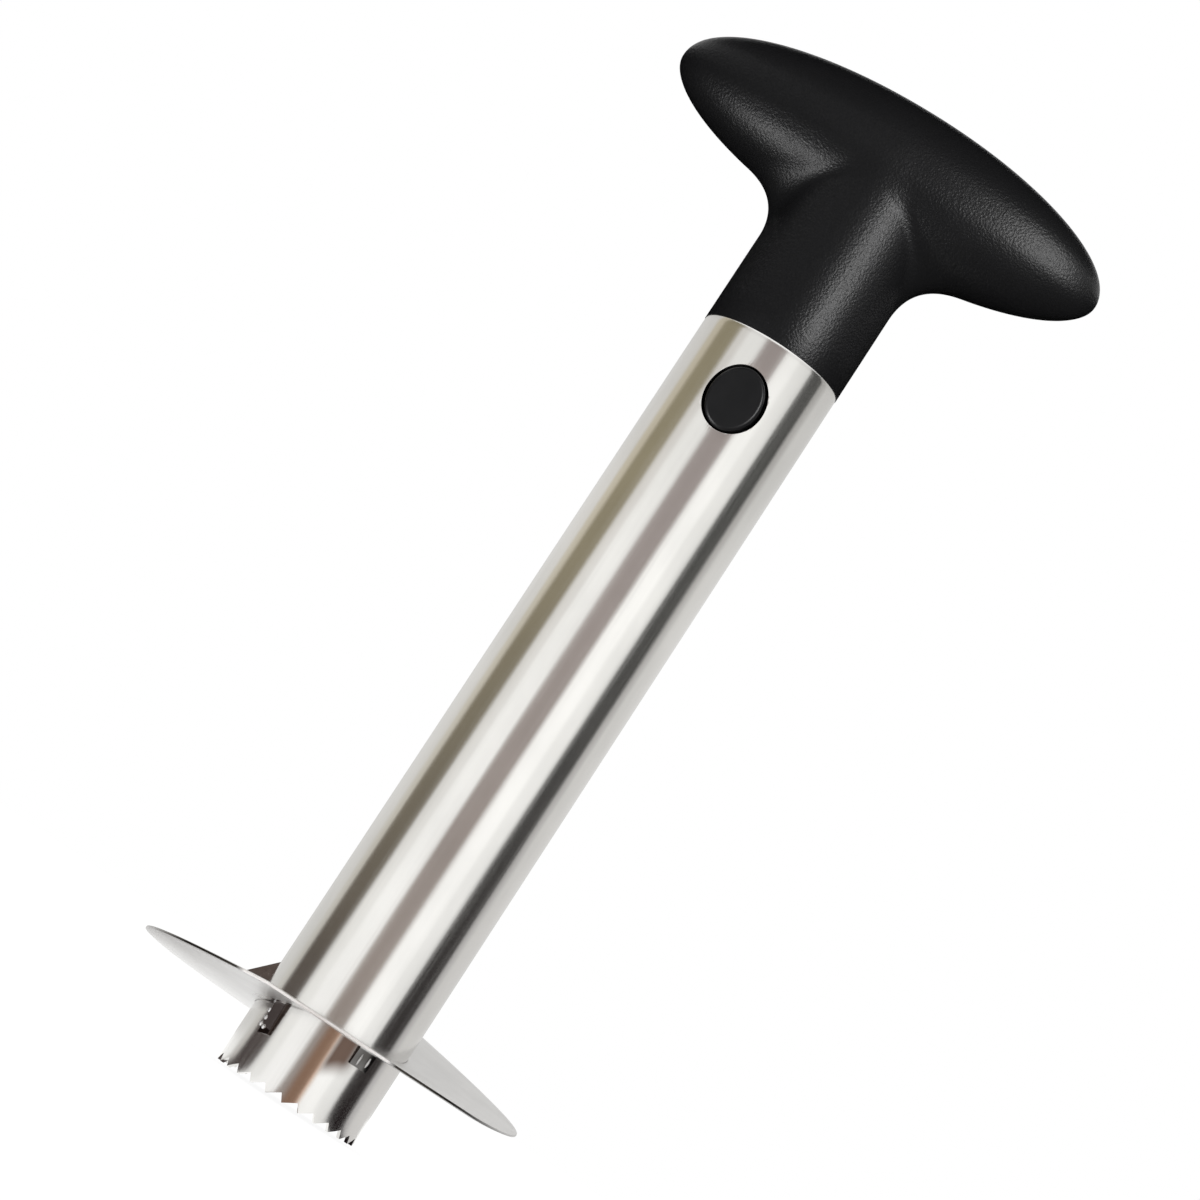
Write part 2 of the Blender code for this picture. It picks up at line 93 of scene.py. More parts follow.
def number(name, text, default, **options):
    return FloatProperty(name=name, description=text, default=default, **options)


def length(name, text, default):
    return number(name, text, default, min=0, precision=5, unit="LENGTH")


def angle(name, text, degrees):
    return number(name, text, math.radians(degrees), unit="ROTATION")


def share(name, text, default):
    return number(name, text, default, min=0, max=1, subtype="FACTOR")


def colour(name, text, default):
    return FloatVectorProperty(name=name, description=text, default=default, min=0, max=1, subtype="COLOR")


class TubeSettings(bpy.types.PropertyGroup):
    tooth_count: IntProperty(name="Teeth", description="Saw teeth round the mouth", default=26, min=6)
    tooth_steps: IntProperty(name="Steps", description="Columns of faces along one tooth", default=8, min=4)
    tooth_depth: length("Tooth depth", "From the tips to the bottoms of the gaps", 0.0017)
    tooth_start: angle("First tooth", "Place of the tooth tip nearest the front", 4)
    slope: share("Slope", "Share of a tooth that its slow side takes", 0.75)
    wall: length("Wall", "Thickness of the tube's wall", 0.0008)
    hole_width: length("Hole width", "Width of the two oval button holes", 0.0130)
    hole_height: length("Hole height", "Height of the two oval button holes", 0.0151)
    edge: length("Edge", "Rounding of the cut edges", 0.00024)
    steel: colour("Steel", "Colour of the brushed steel", (0.80, 0.79, 0.77))
    # Brown heat tint below the blade, which also paints the brown of a reflection
    stain_and_painted_reflection: colour("Heat stain", "Straw brown left by welding, below the blade", (0.62, 0.44, 0.33))
    # Painted shade: the blade's shadow and dark reflection on the tube beside the right tab
    blade_shade: colour("Burn", "Dark brown beside the right tab", (0.13, 0.088, 0.07))
    roughness: share("Roughness", "Roughness of the brushed steel", 0.15)


class BladeSettings(bpy.types.PropertyGroup):
    thickness: length("Sheet", "Thickness of the blade's sheet", 0.0008)
    height: length("Height", "Level of the blade in front", 0.0179)
    lead_drop: length("Lead drop", "How far the cutting end falls", 0.0066)
    trail_rise: length("Trail rise", "How far the trailing end rises", 0.0090)
    lead_bend: angle("Lead bend", "Where the blade starts to fall", -15)
    trail_bend: angle("Trail bend", "Where the blade starts to rise", 55)
    slit: angle("Slit", "Opening at the back", 10)
    grind: length("Rim grind", "Width of the ground rim", 0.0012)
    rim: length("Rim", "Thickness left at the rim", 0.0004)
    edge: length("Edge", "Rounding of the sheet's edges", 0.00006)
    columns: IntProperty(name="Columns", description="Columns of faces round the ring", default=288, min=36)
    seam: length("Seam", "Gap left between the blade and the tube", 0.00005)
    tab_angle: angle("Tabs", "Place of the weld tabs, left and right of the front", 36.5)
    left_width: length("Left tab width", "Width of the left weld tab", 0.0029)
    right_width: length("Right tab width", "Width of the right weld tab", 0.0041)
    tab_end: length("Tab end", "Thickness left at a tab's end", 0.0004)
    left_tab: length("Left tab", "How far the left tab reaches down", 0.0070)
    right_tab: length("Right tab", "How far the right tab reaches down", 0.0040)
    bead_depth: length("Bead", "How far a weld bead stands out", 0.00042)
    gusset_leg: length("Gusset leg", "Length of the gusset's two square sides", 0.009)
    gusset_sheet: length("Gusset sheet", "Thickness of the gusset", 0.001)
    gusset_edge: length("Gusset edge", "Rounding of the gusset's edges", 0.00014)
    gusset_angle: angle("Gusset place", "Place of the gusset round the tube", -98)
    steel: colour("Steel", "Colour of the satin blade", (0.73, 0.725, 0.72))
    # Painted highlight: the near-white colour of the rim in front of the tube
    ground: colour("Ground steel", "Colour of the ground rim in front of the tube", (0.97, 0.95, 0.94))
    warm: colour("Warm steel", "Colour of the left tab's face", (0.6, 0.58, 0.56))
    # Dark brown of heat-darkened steel, which on the gusset is also painted shade
    heat_and_shade_brown: colour("Burnt steel", "Colour of steel darkened by welding", (0.088, 0.068, 0.06))
    # Painted shade: the dark line on the rim beside the tube, and the dark right tab
    painted_shade: colour("Dark edge", "Colour of the rim beside the tube", (0.05, 0.045, 0.04))
    roughness: share("Roughness", "Roughness of the satin blade", 0.34)


class GripSettings(bpy.types.PropertyGroup):
    belly: length("Belly", "From the crossbar's axis down to its underside", 0.0154)
    crown: length("Crown", "From the crossbar's axis up to its top", 0.0159)
    belly_power: number("Belly power", "Fullness of the underside along it", 1.94)
    crown_power: number("Crown power", "Fullness of the top along it", 2.04)
    crown_round: number("Crown round", "Fullness of the top across it", 2.5)
    power_change: length("Power change", "Height in which the underside's fullness turns into the top's", 0.005)
    side_fillet: length("Side fillet", "Hollow between neck and wings", 0.0115)
    front_fillet: length("Front fillet", "Hollow between neck and crossbar, in front and behind", 0.0014)
    dome: length("Dome", "Height in which the neck closes, above the crossbar's axis", 0.012)
    wall: length("Wall", "Thickness of a shell's wall", 0.0026)
    edge: length("Edge", "Rounding of the shells' edges", 0.00015)
    plastic: colour("Grip", "Colour of the grained black plastic", (0.0065, 0.0065, 0.007))
    roughness: share("Roughness", "Roughness of the grained plastic", 0.36)
    grain: length("Grain", "Size of the moulded grain", 0.00050)
    grain_depth: length("Grain depth", "Depth of the moulded grain", 0.00011)
    smooth_plastic: colour("Housing", "Colour of the plain black plastic", (0.008, 0.008, 0.0085))


class ButtonSettings(bpy.types.PropertyGroup):
    width: length("Width", "Width of an oval push button", 0.0114)
    height: length("Height", "Height of an oval push button", 0.0135)
    flange: length("Flange", "Thickness of the flange that keeps a button in", 0.0012)
    flange_edge: length("Flange edge", "Rounding of a button's other edges", 0.0001)
    face_wall: length("Face", "Thickness of a button's face", 0.0018)
    edge: length("Edge", "Rounding of a button's face", 0.00085)
    pocket: length("Pocket", "Diameter of the spring's pocket", 0.0067)
    wire: length("Wire", "Diameter of the spring wire", 0.0007)
    coil: length("Coil", "Middle diameter of the spring", 0.0054)
    turns: IntProperty(name="Turns", description="Turns of a spring", default=7, min=3)
    travel: length("Travel", "How far a button can be pressed", 0.003)
    wire_steel: colour("Spring steel", "Colour of drawn spring wire", (0.52, 0.51, 0.50))


class StudioSettings(bpy.types.PropertyGroup):
    camera_angle: angle("Camera angle", "Place of the camera round the tube", 6.0)
    camera_distance: length("Camera distance", "From the tube's axis to the camera", 0.6654)
    camera_height: length("Camera height", "Height of the camera above the teeth", 0.020)
    pitch: angle("Pitch", "How far the camera looks up", 8.4835)
    yaw: angle("Yaw", "How far the camera looks past the axis", 0.1948)
    roll: angle("Roll", "How far the camera is turned round its view", 33.2171)
    lens: number("Lens", "Focal length on a 36 mm sensor", 98.77, min=1)
    reach: length("Panels", "From the tube's axis to the panels round it", 0.30)
    upper: length("Upper level", "Height at which a panel has its upper edges and shade", 0.20)
    key: number("Key", "Power of the lamp in front on the right", 5.0, unit="POWER")
    fill: number("Fill", "Power of the lamp in front on the left", 3.5, unit="POWER")
    strip: number("Strip", "Power of the strip that lights the grip", 4.0, unit="POWER")
    low: number("Low", "Power of the lamp under the left wing", 0.36, unit="POWER")
    sky: number("Sky", "Level of the light from all round", 0.6, min=0)


# Modelling helpers

def rest():
    """Leaves edit mode and deselects everything, so that the next operator acts on one piece only."""
    if bpy.context.object and bpy.context.object.mode != "OBJECT":
        bpy.ops.object.mode_set(mode="OBJECT")
    bpy.ops.object.select_all(action="DESELECT")


def pick(piece):
    """Makes a piece the only one selected, and the active one."""
    rest()
    piece.select_set(True)
    bpy.context.view_layer.objects.active = piece


def new_object(name, data):
    piece = bpy.data.objects.new(name, data)
    bpy.context.scene.collection.objects.link(piece)
    return piece


def begin(name):
    """Names the primitive that was just added and opens it for editing, with nothing selected."""
    piece = bpy.context.object
    piece.name = piece.data.name = name
    bpy.ops.object.mode_set(mode="EDIT")
    bpy.ops.mesh.select_all(action="DESELECT")
    return piece


def select(piece, kind, test):
    """Selects the vertices, edges or faces that pass a test, and nothing else."""
    bpy.ops.mesh.select_mode(type=kind)
    bpy.ops.mesh.select_all(action="DESELECT")
    mesh = bmesh.from_edit_mesh(piece.data)
    for part in {"VERT": mesh.verts, "EDGE": mesh.edges, "FACE": mesh.faces}[kind]:
        if test(part):
            part.select_set(True)
    mesh.select_flush_mode()
    bmesh.update_edit_mesh(piece.data)


def place_of(point):
    """Angle round the tube of a point: 0 in front, growing towards +X."""
    return math.atan2(point.x, -point.y)


def radius_of(point):
    return math.hypot(point.x, point.y)


def on_circle(radius, turn, height):
    return Vector((radius * math.sin(turn), -radius * math.cos(turn), height))


def select_all():
    bpy.ops.mesh.select_all(action="SELECT")


def draw_out(distance):
    """Extrudes the selected faces along Z."""
    bpy.ops.mesh.extrude_region_move(TRANSFORM_OT_translate={"value": (0, 0, distance)})


def finish_step(piece, kind, **values):
    """Leaves edit mode, adds a modifier and applies it."""
    bpy.ops.object.mode_set(mode="OBJECT")
    step = piece.modifiers.new(kind.title(), kind)
    for name, value in values.items():
        setattr(step, name, value)
    bpy.ops.object.modifier_apply(modifier=step.name)


def round_edges(piece, width, degrees, segments=2):
    """Bevels the edges that are sharper than an angle."""
    limit = math.radians(degrees)
    finish_step(piece, "BEVEL", width=width, segments=segments, limit_method="ANGLE", angle_limit=limit)


def hand_over(piece, material, slot, *nodes, body="slicer", smooth=35, flat=True):
    """Applies the piece's place, shades it with flat faces kept flat, gives it its finish and hangs it on its body."""
    pick(piece)
    bpy.ops.object.transform_apply()
    bpy.ops.object.shade_smooth_by_angle(angle=math.radians(smooth))
    if flat:
        finish_step(piece, "WEIGHTED_NORMAL", keep_sharp=True)
    piece.data.materials.clear()
    piece.data.materials.append(material)
    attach(piece, body)
    if nodes:
        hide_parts(*nodes)
    rest()


def copy_of(node, name):
    """A copy of a CAD solid with its loose triangles merged and paired into quads, open for editing."""
    piece = new_object(name, frame["nodes"][node].data.copy())
    piece.data.name = name
    pick(piece)
    bpy.ops.object.mode_set(mode="EDIT")
    select_all()
    bpy.ops.mesh.remove_doubles(threshold=CLEARANCE / 20)
    bpy.ops.mesh.customdata_custom_splitnormals_clear()
    bpy.ops.mesh.tris_convert_to_quads(face_threshold=math.pi, shape_threshold=math.pi)
    return piece


# Material helpers

def add_node(tree, kind, inputs=None, **settings):
    """Adds a node, sets it, and fills or links its inputs."""
    node = tree.nodes.new(kind)
    for name, value in settings.items():
        setattr(node, name, value)
    for name, value in (inputs or {}).items():
        if isinstance(value, bpy.types.NodeSocket):
            tree.links.new(value, node.inputs[name])
        else:
            node.inputs[name].default_value = value
    return node


def new_material(name, **sockets):
    """A material whose Principled shader has these constant sockets, its tree and its shader."""
    material = bpy.data.materials.new(name)
    material.use_nodes = True
    shader = material.node_tree.nodes["Principled BSDF"]
    for socket, value in sockets.items():
        shader.inputs[socket.replace("_", " ")].default_value = value
    return material, material.node_tree, shader


def object_place(tree):
    return add_node(tree, "ShaderNodeTexCoord").outputs["Object"]


def object_axes(tree):
    """X, Y and Z of Object coordinates."""
    return add_node(tree, "ShaderNodeSeparateXYZ", {"Vector": object_place(tree)}).outputs


def noise(tree, scale, detail=3.0):
    """Noise on Object coordinates, with a scale along each axis."""
    mapped = add_node(tree, "ShaderNodeMapping", {"Vector": object_place(tree), "Scale": scale})
    inputs = {"Vector": mapped.outputs["Vector"], "Scale": 1.0, "Detail": detail}
    return add_node(tree, "ShaderNodeTexNoise", inputs).outputs["Fac"]


def spread(tree, value, low, high, smooth=False, start=0.0, end=1.0):
    """Maps a value between two limits, and holds it beyond them."""
    inputs = {"Value": value, "From Min": low, "From Max": high, "To Min": start, "To Max": end}
    kind = "SMOOTHSTEP" if smooth else "LINEAR"
    return add_node(tree, "ShaderNodeMapRange", inputs, interpolation_type=kind).outputs["Result"]


def maths(tree, operation, *values):
    """Works out one value from one or two, each a socket or a plain number."""
    return add_node(tree, "ShaderNodeMath", dict(enumerate(values)), operation=operation).outputs["Value"]


def times(tree, first, *others):
    """Multiplies values, each a socket or a plain number."""
    for other in others:
        first = maths(tree, "MULTIPLY", first, other)
    return first


def band(tree, value, rise, top, end, fall):
    """1 between two places on an axis, fading to 0 on both sides."""
    return times(tree, spread(tree, value, rise, top, smooth=True), spread(tree, value, fall, end, smooth=True))


def mixed(tree, factor, first, second):
    """Mixes two colours, each a socket or a plain colour."""
    inputs = {0: factor, 6: first, 7: second}
    for name in (6, 7):
        if not isinstance(inputs[name], bpy.types.NodeSocket):
            inputs[name] = (*inputs[name], 1.0)
    return add_node(tree, "ShaderNodeMix", inputs, data_type="RGBA").outputs[2]


def darker(shade, part):
    return tuple(value * part for value in shade)


def cover(tree, shader, base, rough, height, strength, distance):
    """Links a colour, a roughness and a fine relief to a shader."""
    relief = add_node(tree, "ShaderNodeBump", {"Height": height, "Strength": strength, "Distance": distance})
    for name, socket in (("Base Color", base), ("Roughness", rough), ("Normal", relief.outputs["Normal"])):
        tree.links.new(socket, shader.inputs[name])


def brushed_tube_steel(size, blade):
    """Bright stainless tube: fine grain along its length, faint blotches, and a brown heat tint below the blade.

    The tint also paints the brown of a reflection. It and a painted shade of the blade beside it are bands in X.
    The painted shade's lower edge is ragged and slants.
    """
    material, tree, shader = new_material("brushed tube steel", Metallic=1.0, Anisotropic=0.5)
    grain = noise(tree, (1500, 1500, 22), detail=4)
    blotch = noise(tree, (90, 90, 45))
    base = mixed(tree, spread(tree, blotch, 0.35, 0.65), darker(size.steel, 0.93), size.steel)
    axes = object_axes(tree)
    front = spread(tree, axes["Y"], 0.0, -TUBE_RADIUS / 2)
    below = times(tree, front, spread(tree, axes["Z"], blade.height, blade.height - blade.thickness, smooth=True))
    # Heat tint and painted reflection: a brown band below the blade, in front
    base = mixed(tree, times(tree, below, band(tree, axes["X"], -0.0002, 0.0018, 0.0030, 0.0046)), base, size.stain_and_painted_reflection)
    # Painted shade of the blade: dark brown just below it beside the right tab, its lower edge ragged and slanting
    ragged = maths(tree, "ADD", times(tree, blotch, 0.006), axes["Z"])
    slanted = maths(tree, "ADD", ragged, times(tree, axes["X"], -0.4))
    high = spread(tree, slanted, 0.0096, 0.0142, smooth=True)
    heat_and_shade_brown = times(tree, times(tree, below, high), band(tree, axes["X"], 0.0030, 0.0046, 0.0066, 0.0098))
    base = mixed(tree, heat_and_shade_brown, base, size.blade_shade)
    rough = spread(tree, grain, 0.25, 0.75, start=size.roughness - 0.03, end=size.roughness + 0.05)
    cover(tree, shader, base, rough, grain, 0.12, 0.00002)
    return material


def satin_blade_steel(size):
    """Satin sheet: a fine even grain along X, weld tabs dark from heat and painted shade, and a painted shade on the
    rim beside the tube.

    In front of the tube the rim has a painted highlight. The left tab is dark only round its edge.
    """
    material, tree, shader = new_material("satin blade steel", Metallic=1.0, Anisotropic=0.2)
    grain = noise(tree, (260, 2600, 900))
    cloud = noise(tree, (120,) * 3, detail=2)
    axes = object_axes(tree)
    level = add_node(tree, "ShaderNodeCombineXYZ", {"X": axes["X"], "Y": axes["Y"]})
    off = add_node(tree, "ShaderNodeVectorMath", {0: level.outputs["Vector"]}, operation="LENGTH").outputs["Value"]
    aside = maths(tree, "ABSOLUTE", axes["X"])
    base = mixed(tree, spread(tree, cloud, 0.3, 0.7), darker(size.steel, 0.92), size.steel)
    under, beside_tube = size.height - size.thickness, TUBE_RADIUS * 1.12
    tab = times(tree, spread(tree, off, TUBE_RADIUS + 0.0024, TUBE_RADIUS + 0.0020),
                spread(tree, axes["Z"], under + 0.0003, under), spread(tree, axes["Y"], -0.007, -0.009))
    along = (math.cos(size.tab_angle), -math.sin(size.tab_angle), 0)
    across = add_node(tree, "ShaderNodeVectorMath", {0: object_place(tree), 1: along}, operation="DOT_PRODUCT")
    across = maths(tree, "ABSOLUTE", across.outputs["Value"])
    side, end = size.left_width / 2, under - size.left_tab
    tab_heat_and_shade = mixed(tree, spread(tree, across, side - 0.00025, side - 0.0001), size.warm, size.heat_and_shade_brown)
    tab_heat_and_shade = mixed(tree, spread(tree, axes["Z"], end + 0.0004, end + 0.0002), tab_heat_and_shade, size.heat_and_shade_brown)
    # Painted shade: the right tab is painted dark all over
    tab_heat_and_shade = mixed(tree, spread(tree, axes["X"], -0.002, 0.002), tab_heat_and_shade, size.painted_shade)
    base = mixed(tree, times(tree, tab, spread(tree, cloud, 0.2, 0.6, start=0.7, end=1.0)), base, tab_heat_and_shade)
    # Painted highlight: the rim in front of the tube is painted near white, and made rough
    ground = times(tree, spread(tree, off, BLADE_RADIUS - 0.00045, BLADE_RADIUS - 0.00035),
                   spread(tree, axes["Y"], 0, -TUBE_RADIUS), spread(tree, aside, beside_tube, TUBE_RADIUS))
    base = mixed(tree, ground, base, size.ground)
    # Painted shade: a dark line on the rim beside the tube, fading out towards the wings' ends
    rim = times(tree, spread(tree, off, BLADE_RADIUS - 0.00022, BLADE_RADIUS - 0.0001),
                spread(tree, aside, TUBE_RADIUS, beside_tube), spread(tree, aside, BLADE_RADIUS, BLADE_RADIUS * 0.7))
    base = mixed(tree, rim, base, size.painted_shade)
    rough = spread(tree, grain, 0.25, 0.75, start=size.roughness - 0.04, end=size.roughness + 0.06)
    rough = add_node(tree, "ShaderNodeMix", {0: tab, 2: rough, 3: size.roughness / 3}).outputs[0]
    rough = add_node(tree, "ShaderNodeMix", {0: ground, 2: rough, 3: 0.6}).outputs[0]
    cover(tree, shader, base, rough, grain, 0.15, 0.00002)
    return material


def heat_and_shade_weld_steel(name, size, clean):
    """Steel beside or in a weld: bright where it is clean, dark brown elsewhere, from heat and, on the gusset, as
    painted shade.
    """
    material, tree, shader = new_material(name, Metallic=1.0)
    cloud = noise(tree, (700, 700, 500), detail=4)
    base = mixed(tree, spread(tree, cloud, clean, clean + 0.2, smooth=True), size.steel, size.heat_and_shade_brown)
    rough = spread(tree, cloud, 0.3, 0.7, start=0.18, end=0.42)
    cover(tree, shader, base, rough, noise(tree, (2600,) * 3), 0.25, 0.00004)
    return material


def grained_plastic(size):
    """Black moulded plastic with a fine eroded grain, a little smoother where the hand rubs it."""
    material, tree, shader = new_material("grained black plastic", Specular_IOR_Level=0.42)
    cell = 1 / size.grain
    inputs = {"Vector": object_place(tree), "Scale": cell}
    pits = add_node(tree, "ShaderNodeTexVoronoi", inputs, feature="SMOOTH_F1").outputs["Distance"]
    fine = noise(tree, (cell * 1.7,) * 3, detail=2)
    worn = noise(tree, (45,) * 3)
    base = mixed(tree, spread(tree, fine, 0.35, 0.65), darker(size.plastic, 0.8), size.plastic)
    rough = spread(tree, worn, 0.3, 0.7, start=size.roughness - 0.03, end=size.roughness + 0.04)
    cover(tree, shader, base, rough, maths(tree, "ADD", pits, fine), 0.55, size.grain_depth)
    return material


def plain_plastic(name, shade, roughness):
    """Black moulded plastic from a smooth mould, with faint unevenness."""
    material, tree, shader = new_material(name, Specular_IOR_Level=0.45)
    cloud = noise(tree, (320,) * 3)
    base = mixed(tree, cloud, darker(shade, 0.85), shade)
    rough = spread(tree, cloud, 0.3, 0.7, start=roughness - 0.03, end=roughness + 0.03)
    cover(tree, shader, base, rough, noise(tree, (1800,) * 3, detail=2), 0.12, 0.00002)
    return material


def drawn_steel(name, shade, roughness):
    """Small turned or drawn steel parts, with fine marks and a thin film of oil."""
    material, tree, shader = new_material(name, Metallic=1.0)
    marks = noise(tree, (900, 3600, 900))
    base = mixed(tree, marks, darker(shade, 0.85), shade)
    rough = spread(tree, marks, 0.3, 0.7, start=roughness - 0.04, end=roughness + 0.05)
    cover(tree, shader, base, rough, marks, 0.1, 0.00001)
    return material


# Pieces

def blade_height(turn, size):
    """Height of the blade's sheet: level in front, falling to its cutting end and rising to its trailing end."""
    end = math.pi - size.slit / 2
    if turn < size.lead_bend:
        along = (turn - size.lead_bend) / (-end - size.lead_bend)
        return size.height - size.lead_drop * math.sin(along * math.pi / 2)
    along = max(0, (turn - size.trail_bend) / (end - size.trail_bend))
    return size.height + size.trail_rise * along ** 1.5


class SLICER_OT_core_tube(bpy.types.Operator):
    """Adds the brushed tube with its saw teeth and its two button holes"""
    bl_idname = "slicer.core_tube"
    bl_label = "Core tube"

    def execute(self, context):
        size = context.scene.slicer_tube
        rest()
        columns = size.tooth_count * size.tooth_steps
        bpy.ops.mesh.primitive_cylinder_add(vertices=columns, radius=TUBE_RADIUS, depth=TUBE_TOP,
                                            end_fill_type="NOTHING", location=(0, 0, TUBE_TOP / 2))
        bpy.ops.object.transform_apply()
        tube = begin("brushed_core_tube")
        axis = sum(corner.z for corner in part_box("front_button")) / 2
        cuts = [0.003, 0.006, 0.012, 0.03, 0.07, 0.11, 0.14, TUBE_TOP - 0.001]
        for height in cuts + [axis + size.hole_height * part for part in (-0.8, -0.6, -0.3, 0, 0.3, 0.6, 0.8)]:
            select_all()
            bpy.ops.mesh.bisect(plane_co=(0, 0, height), plane_no=(0, 0, 1))
        for step in range(1, size.tooth_steps):
            along = step / size.tooth_steps
            rise = min(along / size.slope, (1 - along) / (1 - size.slope))
            select(tube, "VERT", lambda vert: vert.co.z < size.tooth_depth / 2
                   and round(place_of(vert.co) / TURN * columns) % size.tooth_steps == step)
            bpy.ops.transform.translate(value=(0, 0, size.tooth_depth * rise))
        select_all()
        bpy.ops.transform.rotate(value=-size.tooth_start, orient_axis="Z", center_override=(0, 0, 0))
        finish_step(tube, "SOLIDIFY", thickness=size.wall, offset=-1, use_even_offset=True)
        rest()
        bpy.ops.mesh.primitive_cylinder_add(vertices=96, radius=size.hole_width / 2, depth=TUBE_RADIUS * 3,
                                            rotation=(math.pi / 2, 0, 0), location=(0, 0, axis))
        cutter = context.object
        cutter.scale.y = size.hole_height / size.hole_width
        pick(tube)
        finish_step(tube, "BOOLEAN", operation="DIFFERENCE", object=cutter, solver="EXACT")
        bpy.data.objects.remove(cutter)
        round_edges(tube, size.edge, 40)
        steel = brushed_tube_steel(size, context.scene.slicer_blade)
        hand_over(tube, steel, "tube_steel", "core_tube")
        return {"FINISHED"}


class SLICER_OT_ring_blade(bpy.types.Operator):
    """Adds the slit ring blade: a disc inset to a ring, sprung into a helix, with its weld tabs folded down"""
    bl_idname = "slicer.ring_blade"
    bl_label = "Ring blade"

    def execute(self, context):
        size = context.scene.slicer_blade
        end = math.pi - size.slit / 2
        rest()
        bpy.ops.mesh.primitive_circle_add(vertices=size.columns, radius=BLADE_RADIUS, fill_type="NGON")
        blade = begin("satin_ring_blade")
        select_all()
        bpy.ops.mesh.inset(thickness=size.grind)
        bore = TUBE_RADIUS + size.seam
        bpy.ops.mesh.inset(thickness=BLADE_RADIUS - size.grind - bore - size.thickness)
        bpy.ops.mesh.inset(thickness=size.thickness)
        bpy.ops.mesh.delete(type="FACE")
        select(blade, "FACE", lambda face: abs(place_of(face.calc_center_median())) > end)
        bpy.ops.mesh.delete(type="FACE")
        select_all()
        bpy.ops.mesh.normals_make_consistent()
        finish_step(blade, "SOLIDIFY", thickness=size.thickness, offset=0)
        bpy.ops.object.mode_set(mode="EDIT")
        select(blade, "VERT", lambda vert: radius_of(vert.co) > BLADE_RADIUS - size.grind / 2)
        bpy.ops.transform.resize(value=(1, 1, size.rim / size.thickness))
        for side, reach, width in ((-1, size.left_tab, size.left_width), (1, size.right_tab, size.right_width)):
            select(blade, "FACE", lambda face: face.normal.z < -0.5
                   and radius_of(face.calc_center_median()) < bore + size.thickness
                   and abs(place_of(face.calc_center_median()) - side * size.tab_angle) < width / 2 / bore)
            draw_out(-reach)
            self.flatten_tab(blade, side * size.tab_angle, bore + size.tab_end)
        apart = TURN / size.columns
        for step in range(size.columns + 1):
            turn = apart * step - math.pi
            select(blade, "VERT", lambda vert: abs(place_of(vert.co) - turn) < apart / 4)
            bpy.ops.transform.translate(value=(0, 0, blade_height(turn, size)))
        round_edges(blade, size.edge, 30)
        hand_over(blade, satin_blade_steel(size), "blade_steel", "ring_blade", smooth=25)
        return {"FINISHED"}

    def flatten_tab(self, blade, turn, face):
        """Turns the selected end of a tab from a piece of a ring into a flat, thinner strip, clear of the tube."""
        mesh = bmesh.from_edit_mesh(blade.data)
        for vert in mesh.verts:
            if vert.select:
                off = min(1, face / radius_of(vert.co)) / math.cos(place_of(vert.co) - turn)
                vert.co.x *= off
                vert.co.y *= off
        bmesh.update_edit_mesh(blade.data)


class SLICER_OT_gusset(bpy.types.Operator):
    """Adds the triangular plate that braces the blade, cut from a thin block"""
    bl_idname = "slicer.gusset"
    bl_label = "Gusset"

    def execute(self, context):
        size = context.scene.slicer_blade
        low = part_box("blade_gusset")[0]
        middle = BLADE_BORE + size.gusset_leg / 2
        rest()
        bpy.ops.mesh.primitive_cube_add(size=1, location=(0, -middle, low.z + size.gusset_leg / 2))
        gusset = begin("burnt_blade_gusset")
        select_all()
        bpy.ops.transform.resize(value=(size.gusset_sheet, size.gusset_leg, size.gusset_leg))
        bpy.ops.mesh.bisect(plane_co=(0, -BLADE_BORE, low.z + size.gusset_leg), plane_no=(0, -1, 1),
                            use_fill=True, clear_outer=True)
        round_edges(gusset, size.gusset_edge, 30, segments=3)
        bpy.ops.object.transform_apply()
        gusset.rotation_euler.z = size.gusset_angle
        # Heat darkening and painted shade: the gusset is mostly dark brown, for the shade it sits in
        hand_over(gusset, heat_and_shade_weld_steel("burnt gusset steel", size, 0.2), "blade_steel", "blade_gusset")
        return {"FINISHED"}


class SLICER_OT_welds(bpy.types.Operator):
    """Adds the weld beads: five round the left tab's edge and two long ones on the right tab"""
    bl_idname = "slicer.welds"
    bl_label = "Weld beads"

    def execute(self, context):
        size = context.scene.slicer_blade
        beads = ((-42, 0.0020, 0.00056, 0.00062), (-42.5, 0.0042, 0.00054, 0.00062), (-41.5, 0.0058, 0.0005, 0.00056),
                 (-42.5, 0.0073, 0.00056, 0.00058), (-38.5, 0.0076, 0.00048, 0.0005),
                 (33.5, 0.0026, 0.00026, 0.0014), (40.5, 0.0024, 0.00028, 0.0012))
        surface = TUBE_RADIUS + size.seam + size.tab_end * 1.2
        material = heat_and_shade_weld_steel("weld steel", size, 0.62)
        rest()
        made = []
        for number, (turn, drop, width, reach) in enumerate(beads):
            bpy.ops.mesh.primitive_uv_sphere_add(segments=24, ring_count=14, radius=1)
            bead = begin("tab_welds")
            select_all()
            bpy.ops.transform.resize(value=(width, size.bead_depth, reach))
            bpy.ops.transform.vertex_random(offset=0.00006, uniform=0.0, normal=1.0, seed=number + 1)
            bpy.ops.mesh.vertices_smooth(factor=0.5, repeat=2)
            rest()
            turn = math.radians(turn)
            place = on_circle(surface, turn, size.height - drop)
            bead.matrix_world = Matrix.Translation(place) @ Matrix.Rotation(turn, 4, "Z")
            made.append(bead)
        pick(made[0])
        for bead in made:
            bead.select_set(True)
        bpy.ops.object.join()
        hand_over(made[0], material, "blade_steel", smooth=80)
        return {"FINISHED"}


